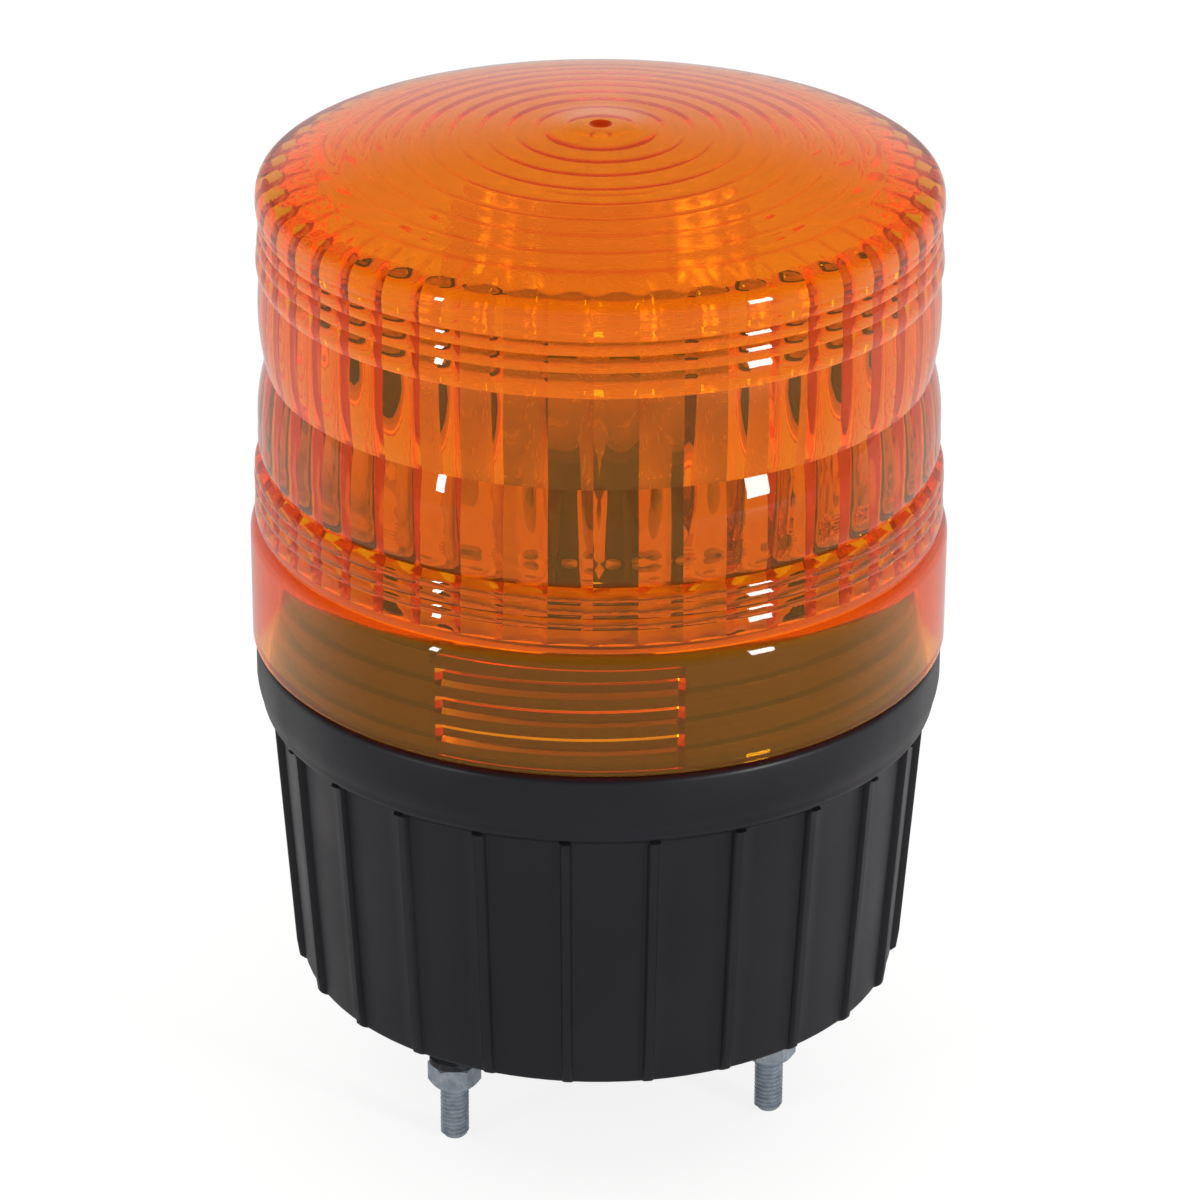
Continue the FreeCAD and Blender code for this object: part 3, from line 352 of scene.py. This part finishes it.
# %% Flutes and thread groups
def flute_depth(angle, run):
    """Half-round flutes; run is the way left, in mm, before a flute's round end."""
    side = HALF - math.radians(abs(near(angle, FLUTE_PITCH, FLUTE_PHASE))) * LENS_IN
    over = max(0.0, HALF - run)
    rest = ROUND ** 2 - side ** 2 - over ** 2
    return max(0.0, math.sqrt(max(rest, 0)) - (ROUND - FLUTE_DEEP))


depth_at = {round(z, 3): d for z, d in thread_rows()}
for v in bm.verts:
    r, z, angle = math.hypot(v.co.x, v.co.y) / MM, v.co.z / MM, front_angle(v.co)
    bend = math.atan2(z - FILLET_Z, r - FILLET_R)
    if abs(r - LENS_IN) < 0.01 and FLUTE_LOW - 0.01 < z <= FILLET_Z + 0.01:
        push(v, flute_depth(angle, FILLET * FLUTE_END))
    elif 0 < bend < FLUTE_END and abs(math.hypot(r - FILLET_R, z - FILLET_Z) - FILLET) < 0.02:
        deep = flute_depth(angle, FILLET * (FLUTE_END - bend))
        push(v, deep * math.cos(bend))
        v.co.z -= deep * math.sin(bend) * MM
    elif abs(r - SKIRT_IN) < 0.01 and round(z, 3) in depth_at:
        aside = near(angle, 120, PAD_PHASE)
        if abs(aside) < PAD_HALF:
            push(v, depth_at[round(z, 3)])
        if depth_at[round(z, 3)] and abs(aside) < PAD_HALF + 2 and z < SKIRT_ROOF - 3 and z > SKIRT_Z0 + 1:
            v.co.z += LEAD * near(angle, 360, PAD_PHASE) / 360 * MM
piece("globe_lens", bm, "globe", "amber_polycarbonate", ["globe"], sharp=20)

# %% [markdown]
# ## The base housing
# A deep pot moulded in black ABS: a tapering wall with 24 raised ribs, a rolled rim over them and the collar
# that carries the globe. The ribs could be boxes set on the wall, or faces extruded from it. Moulded ribs
# have soft edges, though, and those edges are what the eye sees on black, so the wall is spun with columns of
# points packed round each rib, which are then pushed out.

# %% Housing
low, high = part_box("base_housing")
RIM_R, COLLAR_TOP = SKIRT_R - 0.5, high.z / MM
RIM_TOP, LEDGE = SKIRT_Z0 - 0.7, SKIRT_Z0 - 13.3
RIBS, RIB_PHASE, RIB_DEEP, RIB_DRAFT = 24, -5.4, 1.2, 0.072
RIB_FOOT = RIM_R - 2.27 - RIB_DRAFT * LEDGE - RIB_DEEP      # the wall between the ribs, at the bottom
COLLAR_R = SKIRT_IN + 0.15 - PAD_T - RIDGE_DEEP - 0.45
COLLAR_IN, WALL, SEAT = COLLAR_R - 2.8, 2.4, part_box("base_floor")[1].x / MM + 0.1
MID_WALL = 54             # radius at which a rib's width is measured
RIB_SIDES = (-1.25, -1.0, -0.85, -0.6, 0.0, 0.6, 0.85, 1.0, 1.25)   # mm across a rib
RIB_RISE = {1.25: 0.0, 1.0: 0.12, 0.85: 0.72, 0.6: 0.97, 0.0: 1.0}  # share of the rib's height there
ACROSS = [math.degrees(s / MID_WALL) for s in RIB_SIDES] + [4.0, 7.5, 11.0]
print("housing wall at the bottom", round(RIB_FOOT, 2), "collar", COLLAR_R)


def wall_r(z):
    """Radius of the tapering wall, between the ribs, at a height."""
    return RIB_FOOT + RIB_DRAFT * z


foot_and_wall = [(SEAT, 0), (wall_r(0) - 1.0, 0), (wall_r(0) - 0.3, 0.25, 0.06), (wall_r(1), 1.0, 0.08),
                 (wall_r(4), 4.0), (wall_r(16), 16), (wall_r(32), 32), (wall_r(LEDGE - 1.2), LEDGE - 1.2)]
rim = [(wall_r(LEDGE) + 0.9, LEDGE - 0.1, -0.2), (RIM_R - 2.2, LEDGE + 0.2), (RIM_R - 0.8, LEDGE + 2.4, 0.45),
       (RIM_R, LEDGE + 6.0, 0.12), (RIM_R, RIM_TOP - 1.1), (RIM_R - 1.1, RIM_TOP, 0.32)]
collar = [(COLLAR_R + 0.4, RIM_TOP), (COLLAR_R, RIM_TOP + 0.4, -0.1), (COLLAR_R, COLLAR_TOP - 0.8),
          (COLLAR_R - 0.8, COLLAR_TOP, 0.2), (COLLAR_IN + 0.3, COLLAR_TOP), (COLLAR_IN, COLLAR_TOP - 0.3),
          (COLLAR_IN, RIM_TOP - 2.4)]
back_down = [(RIM_R - WALL - 0.3, RIM_TOP - 2.4), (RIM_R - WALL - 0.3, LEDGE + 5.4),
             (wall_r(LEDGE) - WALL, LEDGE + 1), (wall_r(3) - WALL, 6.5), (SEAT - 2, 5), (SEAT - 2, 3),
             (SEAT, 3), (SEAT, 0)]
bm = bmesh.new()
geometry = outline(bm, foot_and_wall + rim + collar + back_down, 5)
bmesh.ops.rotate(bm, verts=[g for g in geometry if isinstance(g, bmesh.types.BMVert)], cent=(0, 0, 0),
                 matrix=Matrix.Rotation(math.radians(RIB_PHASE + ACROSS[0] - 90), 3, "Z"))
for k in range(RIBS):
    for a, b in zip(ACROSS, ACROSS[1:] + [ACROSS[0] + 360 / RIBS]):
        geometry = bmesh.ops.spin(bm, geom=geometry, cent=(0, 0, 0), axis=(0, 0, 1), dvec=(0, 0, 0),
                                  angle=math.radians(b - a), steps=1)["geom_last"]
bmesh.ops.remove_doubles(bm, verts=bm.verts, dist=0.002 * MM)
print(len(bm.verts), "points in the housing")

# %% Raise the ribs
for v in bm.verts:
    r, z = math.hypot(v.co.x, v.co.y) / MM, v.co.z / MM
    if 0.2 < z < LEDGE + 0.1 and r > wall_r(z) - 1.6 and r < wall_r(z) + 1.2:
        aside = abs(near(front_angle(v.co), 360 / RIBS, RIB_PHASE))
        rise = next((RIB_RISE[s] for s in sorted(RIB_RISE, reverse=True)
                     if abs(aside - math.degrees(s / MID_WALL)) < 0.02), 0.0)
        push(v, -RIB_DEEP * rise * min(1.0, max(0.0, (z - 0.2) / 1.2)) ** 0.5)
deck, boss_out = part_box("chassis_plate")[0].z, (COLLAR_R - 10.3) * MM
for k in (10, 130, 250):      # bosses for the chassis screws, against the inside of the wall
    made = bmesh.ops.create_cone(bm, cap_ends=True, segments=24, radius1=4.2 * MM, radius2=4.2 * MM,
                                 depth=deck - 3 * MM)["verts"]
    a = math.radians(k)
    bmesh.ops.translate(bm, verts=made, vec=(math.sin(a) * boss_out, -math.cos(a) * boss_out,
                                             (deck + 3 * MM) / 2))
piece("ribbed_housing", bm, "base", "black_abs", ["base_housing"], sharp=40)

# %% [markdown]
# ## Threads
# A thread is a ridge that climbs as it turns. A stack of rings would look much the same from afar, but not
# where the ridge ends, so its section is spun with a step upwards. The collar has one coarse ridge for the
# globe. The studs have a fine one, drawn as a whole zigzag side that climbs exactly one pitch per turn, so
# that it closes on itself.

# %% Collar thread
RIDGE_FOOT, RIDGE_TOP = 2.25, 1.45
PLAIN_END = 1.6           # collar left smooth above and below the thread
first = PAD_FIRST - LEAD / 2
start = 360 * (RIM_TOP + PLAIN_END - first) / LEAD
turns = (COLLAR_TOP - PLAIN_END - RIM_TOP - PLAIN_END) / LEAD
bm = bmesh.new()
section = [bm.verts.new(((COLLAR_R + out) * MM, 0, (RIM_TOP + PLAIN_END + z) * MM)) for out, z in (
    (-0.3, -RIDGE_FOOT / 2), (1.1, -RIDGE_TOP / 2 - 0.1), (1.2, -RIDGE_TOP / 2 + 0.1),
    (1.2, RIDGE_TOP / 2 - 0.1), (1.1, RIDGE_TOP / 2 + 0.1), (-0.3, RIDGE_FOOT / 2))]
bmesh.ops.rotate(bm, verts=section, cent=(0, 0, 0),
                 matrix=Matrix.Rotation(math.radians(PAD_PHASE + start - 90), 3, "Z"))
STEPS = 320
turn(bm, [bm.faces.new(section)], STEPS, (0, 0, LEAD * turns / STEPS * MM), 2 * math.pi * turns)
piece("collar_thread", bm, "base", "black_abs", sharp=40)

# %% Threaded studs
PITCH_M5, M5_R, ROOT_R = 0.8, 2.48, 2.07
for tag in "abc":
    low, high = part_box("stud_" + tag)
    x, y, tip = (low.x + high.x) / 2, (low.y + high.y) / 2, low.z / MM
    bm = bmesh.new()
    count = int(-tip / PITCH_M5)
    zigzag = [(r, tip + (k + t) * PITCH_M5) for k in range(-1, count) for r, t in
              ((ROOT_R, 0.0), (ROOT_R, 0.12), (M5_R, 0.44), (M5_R, 0.60))]
    zigzag += [(ROOT_R, tip + count * PITCH_M5)]
    turn(bm, outline(bm, zigzag), 24, (0, 0, PITCH_M5 / 24 * MM))
    bmesh.ops.remove_doubles(bm, verts=bm.verts, dist=0.002 * MM)
    for height, side in ((tip + 0.011, True), (-0.087, False)):      # cuts that miss the thread's own points
        bmesh.ops.bisect_plane(bm, geom=bm.verts[:] + bm.edges[:] + bm.faces[:], plane_co=(0, 0, height * MM),
                               plane_no=(0, 0, 1), clear_inner=side, clear_outer=not side)
    bmesh.ops.holes_fill(bm, edges=[e for e in bm.edges if e.is_boundary], sides=0)
    for v in bm.verts:        # a chamfered end
        r, limit = math.hypot(v.co.x, v.co.y) / MM, 1.7 + v.co.z / MM - tip
        if r > limit:
            push(v, r - limit)
    for radius, z0, z1, sides in ((2.5, -0.2, 3.2, 24), (4.62, 3.0, 6.5, 6)):   # plain shank and hexagon head
        made = bmesh.ops.create_cone(bm, cap_ends=True, segments=sides, radius1=radius * MM,
                                     radius2=radius * MM, depth=(z1 - z0) * MM)["verts"]
        bmesh.ops.translate(bm, verts=made, vec=(0, 0, (z0 + z1) / 2 * MM))
    bmesh.ops.translate(bm, verts=bm.verts, vec=(x, y, 0))
    piece("threaded_stud_" + tag, bm, "base", "zinc_plated_steel", ["stud_" + tag], sharp=50)

# %% [markdown]
# ## The lamp's filament
# Tungsten wire wound on a mandrel and clamped between two support wires on a glass stem. A curve with a round
# bevel could follow the coil. A small circle spun about the coil's axis while it climbs gives the same
# winding, and its ends are easy to close.

# %% Filament
low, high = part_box("bulb_filament")
reach, mid_x, mid_y = (high.x - low.x) / 2 / MM - 0.35, (low.x + high.x) / 2, (low.y + high.y) / 2
coil_z, TURNS, WIRE_R, COIL_R = high.z / MM - 0.8, 14, 0.14, 0.62
bm = bmesh.new()
ring = bmesh.ops.create_circle(bm, segments=8, radius=WIRE_R * MM)["verts"]
bmesh.ops.rotate(bm, verts=ring, cent=(0, 0, 0), matrix=Matrix.Rotation(math.radians(90), 3, "X"))
bmesh.ops.translate(bm, verts=ring, vec=(COIL_R * MM, 0, -reach * MM))
turn(bm, ring + bm.edges[:], TURNS * 16, (0, 0, 2 * reach * MM / (TURNS * 16)), TURNS * 2 * math.pi)
bmesh.ops.holes_fill(bm, edges=[e for e in bm.edges if e.is_boundary], sides=0)
bmesh.ops.rotate(bm, verts=bm.verts, cent=(0, 0, 0), matrix=Matrix.Rotation(math.radians(90), 3, "Y"))
bmesh.ops.translate(bm, verts=bm.verts, vec=(0, 0, coil_z * MM))
for radius, x, z0, z1 in ((2.2, 0, low.z / MM, low.z / MM + 9), (0.3, reach, low.z / MM + 8.5, coil_z + 0.2),
                          (0.3, -reach, low.z / MM + 8.5, coil_z + 0.2)):
    made = bmesh.ops.create_cone(bm, cap_ends=True, segments=20, radius1=radius * MM, radius2=radius * MM,
                                 depth=(z1 - z0) * MM)["verts"]
    bmesh.ops.translate(bm, verts=made, vec=(x * MM, 0, (z0 + z1) / 2 * MM))
bridge = bmesh.ops.create_cone(bm, cap_ends=True, segments=12, radius1=0.3 * MM, radius2=0.3 * MM,
                               depth=2 * reach * MM)["verts"]       # the support wires' feet, across the stem
bmesh.ops.rotate(bm, verts=bridge, cent=(0, 0, 0), matrix=Matrix.Rotation(math.radians(90), 3, "Y"))
bmesh.ops.translate(bm, verts=bridge, vec=(0, 0, low.z + 8.7 * MM))
bmesh.ops.translate(bm, verts=bm.verts, vec=(mid_x, mid_y, 0))
piece("wound_filament", bm, "base", "tungsten", ["bulb_filament"], sharp=50)
print("filament between", round(low.z / MM, 1), "and", round(high.z / MM, 1), "mm, reach", round(reach, 2))

# %% [markdown]
# ## Finishes
# Each finish is named for the real material and starts from its usual index of refraction, metalness and
# roughness. Pictures of surfaces would need a layout for every piece and would repeat. Patterns are worked
# out in the solids' own coordinates instead, so a size in millimetres stays a size in millimetres.

# %% Starting a finish
finishes = {}


def finish(slot, title, **shader):
    """A new material with one Principled shader; returns its tree, shader and coordinates."""
    made = bpy.data.materials.new(title)
    made.use_nodes = True
    tree = made.node_tree
    tree.nodes.clear()
    socket = {"base": "Base Color", "rough": "Roughness", "metal": "Metallic", "ior": "IOR",
              "clear": "Transmission Weight", "gloss": "Specular IOR Level"}
    main = add(tree, "BsdfPrincipled",
               {socket[k]: colour(v) if k == "base" else v for k, v in shader.items()})
    out = add(tree, "OutputMaterial", {"Surface": main.outputs[0]})
    place = add(tree, "TexCoord").outputs["Object"]
    finishes[slot] = made
    return tree, main, place, out


def speckle(tree, place, size_mm, detail=3.0, stretch=(1, 1, 1)):
    """Noise whose grains are about size_mm across; stretch above 1 shortens them along an axis."""
    scaled = add(tree, "Mapping", {"Vector": place, "Scale": [s / (size_mm * MM) for s in stretch]})
    return add(tree, "TexNoise", {"Vector": scaled.outputs[0], "Scale": 1.0, "Detail": detail}).outputs["Fac"]


def spread(tree, main, socket, value, low, high):
    """Lets a pattern move a socket of the shader between two values."""
    out = add(tree, "MapRange",
              {"Value": value, "From Min": 0.3, "From Max": 0.7, "To Min": low, "To Max": high})
    tree.links.new(out.outputs[0], main.inputs[socket])


def tint(tree, main, value, dark, light):
    """Lets a pattern mix two colours."""
    ramp = add(tree, "ValToRGB", {"Fac": value})
    ramp.color_ramp.elements[0].position, ramp.color_ramp.elements[1].position = 0.3, 0.7
    ramp.color_ramp.elements[0].color, ramp.color_ramp.elements[1].color = colour(dark), colour(light)
    tree.links.new(ramp.outputs[0], main.inputs["Base Color"])


def grain(tree, main, value, height_mm, strength=1.0):
    """Lets a pattern raise and lower the surface."""
    bump = add(tree, "Bump", {"Height": value, "Strength": strength, "Distance": height_mm * MM})
    tree.links.new(bump.outputs[0], main.inputs["Normal"])


print("helpers ready")

# %% [markdown]
# ## Amber polycarbonate
# Clear polycarbonate dyed amber. The dye sits in the depth of the plastic, so a thin wall is yellow, the full
# wall is orange and the long way through an edge or a flute's side is red. Only a volume that swallows blue
# and part of the green does that; a coloured surface would look the same everywhere. Its index is 1.585.
# Light that goes on bouncing in such a shell is costly to follow, so after a few bounces a small painted glow
# stands for it: the plastic gives off light of its own, though it is no lamp.

# %% Amber polycarbonate
tree, main, place, out = finish("amber_polycarbonate", "dyed amber polycarbonate", base="#FFC832", rough=0.02,
                                ior=1.585, clear=0.94)
grain(tree, main, speckle(tree, place, 9.0, 1.0), 0.02, 0.6)      # slow waves from cooling in the mould
KEEPS, DENSITY = "#F9EA00", 520.0            # colour kept, and strength per metre
dye = add(tree, "VolumeAbsorption", {"Color": colour(KEEPS), "Density": DENSITY})
tree.links.new(dye.outputs[0], out.inputs["Volume"])
TRACED, GLOW = 3.5, 0.48      # bounces that are followed, and the level of the painted glow after them
rays = add(tree, "LightPath")
late = add(tree, "Math", {0: rays.outputs["Ray Depth"], 1: TRACED}, operation="GREATER_THAN")
painted_glow = add(tree, "Math", {0: late.outputs[0], 1: GLOW}, operation="MULTIPLY")
# Painted glow: past the traced bounces the shell emits this orange as if it were lit from within.
main.inputs["Emission Color"].default_value = colour("#F07A1E")
tree.links.new(painted_glow.outputs[0], main.inputs["Emission Strength"])
print("kept per mm, in linear red, green, blue:",
      [round(math.exp(-(1 - c) * DENSITY * MM), 3) for c in colour(KEEPS)[:3]])

# %% [markdown]
# ## Black ABS
# Moulded in a finely sparked tool: a satin black that is never quite black, a little bluish, with faint
# clouds where the flow front met and a fine grain that breaks up glints. One flat black would look like a
# hole, so two near blacks mix and the roughness drifts.

# %% Black ABS
tree, main, place, out = finish("black_abs", "black ABS, spark-grained moulding", rough=0.36, ior=1.54,
                                gloss=0.6)
tint(tree, main, speckle(tree, place, 30.0, 4.0), "#19171E", "#201E26")
spread(tree, main, "Roughness", speckle(tree, place, 14.0, 4.0), 0.36, 0.48)
grain(tree, main, speckle(tree, place, 0.45, 2.0), 0.02, 0.35)    # the real grain is finer than would show

# %% [markdown]
# ## Metals and the small parts
# Zinc plating is bluish with fine cloudy crystals. Galvanised sheet has big spangles. Turned brass and bronze
# carry tool rings round their axis. The mirror is satin sheet with a faint roll grain. One even grey would
# look like paint, so on each a pattern of the right size moves the colour and the roughness together.

# %% Plated, turned and rolled metals
tree, main, place, out = finish("zinc_plated_steel", "zinc-plated steel", metal=0.6, rough=0.34)
tint(tree, main, speckle(tree, place, 1.6, 5.0), "#A8B6C4", "#D6E0E8")
spread(tree, main, "Roughness", speckle(tree, place, 0.9, 4.0), 0.26, 0.46)
grain(tree, main, speckle(tree, place, 0.25, 2.0), 0.01, 0.3)

tree, main, place, out = finish("spring_steel", "phosphated spring steel", metal=1.0, rough=0.5)
tint(tree, main, speckle(tree, place, 1.2, 5.0), "#4A4B4F", "#6C6D72")
spread(tree, main, "Roughness", speckle(tree, place, 0.8, 4.0), 0.42, 0.6)

tree, main, place, out = finish("galvanised_sheet", "galvanised sheet", metal=0.6, rough=0.35)
cells = add(tree, "TexVoronoi", {"Vector": place, "Scale": 1 / (7 * MM)})       # spangles 7 mm across
tint(tree, main, cells.outputs["Color"], "#C4C8CB", "#E2E4E6")
spread(tree, main, "Roughness", cells.outputs["Color"], 0.28, 0.45)

tree, main, place, out = finish("motor_steel", "nickel-plated drawn steel", metal=1.0, rough=0.25)
tint(tree, main, speckle(tree, place, 4.0, 3.0), "#A7A8AA", "#C4C5C6")
spread(tree, main, "Roughness", speckle(tree, place, 1.0, 4.0, (1, 1, 0.2)), 0.2, 0.34)

for slot, title, dark, light, low, high in (
        ("brass", "turned brass", "#B58A44", "#D3AC62", 0.2, 0.34),
        ("sintered_bronze", "oil-filled sintered bronze", "#7A5A30", "#9C7844", 0.45, 0.6),
        ("nickel_brass", "nickel-plated brass cap", "#B9B4A8", "#D6D2C8", 0.16, 0.28),
        ("tungsten", "tungsten wire", "#5B5C60", "#808186", 0.35, 0.5)):
    tree, main, place, out = finish(slot, title, metal=1.0, rough=low)
    tint(tree, main, speckle(tree, place, 2.0, 4.0), dark, light)
    spread(tree, main, "Roughness", speckle(tree, place, 0.5, 3.0, (0.2, 0.2, 2.0)), low, high)   # tool rings

tree, main, place, out = finish("bright_aluminium", "satin aluminised sheet", metal=0.6, rough=0.2)
tint(tree, main, speckle(tree, place, 6.0, 3.0), "#D9DADB", "#E6E7E8")
spread(tree, main, "Roughness", speckle(tree, place, 0.6, 3.0, (0.05, 1, 1)), 0.16, 0.3)          # roll grain

# %% [markdown]
# ## The other plastics, rubber and glass
# Natural acetal and polyethylene are milky: light goes a little way in, which some subsurface gives. Nylon,
# polyamide, phenolic and rubber are plain mouldings that differ in colour and roughness, so one loop makes
# them all. The lamp is thin clear glass.

# %% Plastics, rubber and glass
for slot, title, dark, light, low, high in (
        ("black_nylon", "black glass-filled nylon", "#252527", "#353538", 0.42, 0.58),
        ("black_rubber", "black nitrile rubber", "#161617", "#222224", 0.55, 0.75),
        ("phenolic", "brown phenolic moulding", "#3B2115", "#52301F", 0.3, 0.45),
        ("grey_polyamide", "grey polyamide", "#7E8184", "#96999C", 0.35, 0.5),
        ("white_polyethylene", "white polyethylene", "#E4E3DC", "#F0EFE9", 0.35, 0.48),
        ("natural_acetal", "natural acetal", "#E6E3D8", "#F2F0E8", 0.28, 0.42)):
    tree, main, place, out = finish(slot, title, rough=low, ior=1.5)
    tint(tree, main, speckle(tree, place, 8.0, 4.0), dark, light)
    spread(tree, main, "Roughness", speckle(tree, place, 3.0, 4.0), low, high)
    grain(tree, main, speckle(tree, place, 0.4, 2.0), 0.01, 0.25)
    if slot in ("white_polyethylene", "natural_acetal"):
        main.inputs["Subsurface Weight"].default_value = 0.25
        main.inputs["Subsurface Scale"].default_value = 1.5 * MM
tree, main, place, out = finish("lamp_glass", "lamp glass", base="#FFFFFF", rough=0.0, ior=1.47, clear=1.0)
grain(tree, main, speckle(tree, place, 5.0, 1.0), 0.02, 0.4)

for part in frame["record"]["subparts"]:
    if part["material_slot"] in finishes:
        mesh = nodes[part["node"]].data
        mesh.materials.clear()
        mesh.materials.append(finishes[part["material_slot"]])
for made in bpy.data.objects:
    if made.get("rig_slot"):
        made.data.materials.clear()
        made.data.materials.append(finishes[made["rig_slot"]])
print(len(finishes), "finishes")
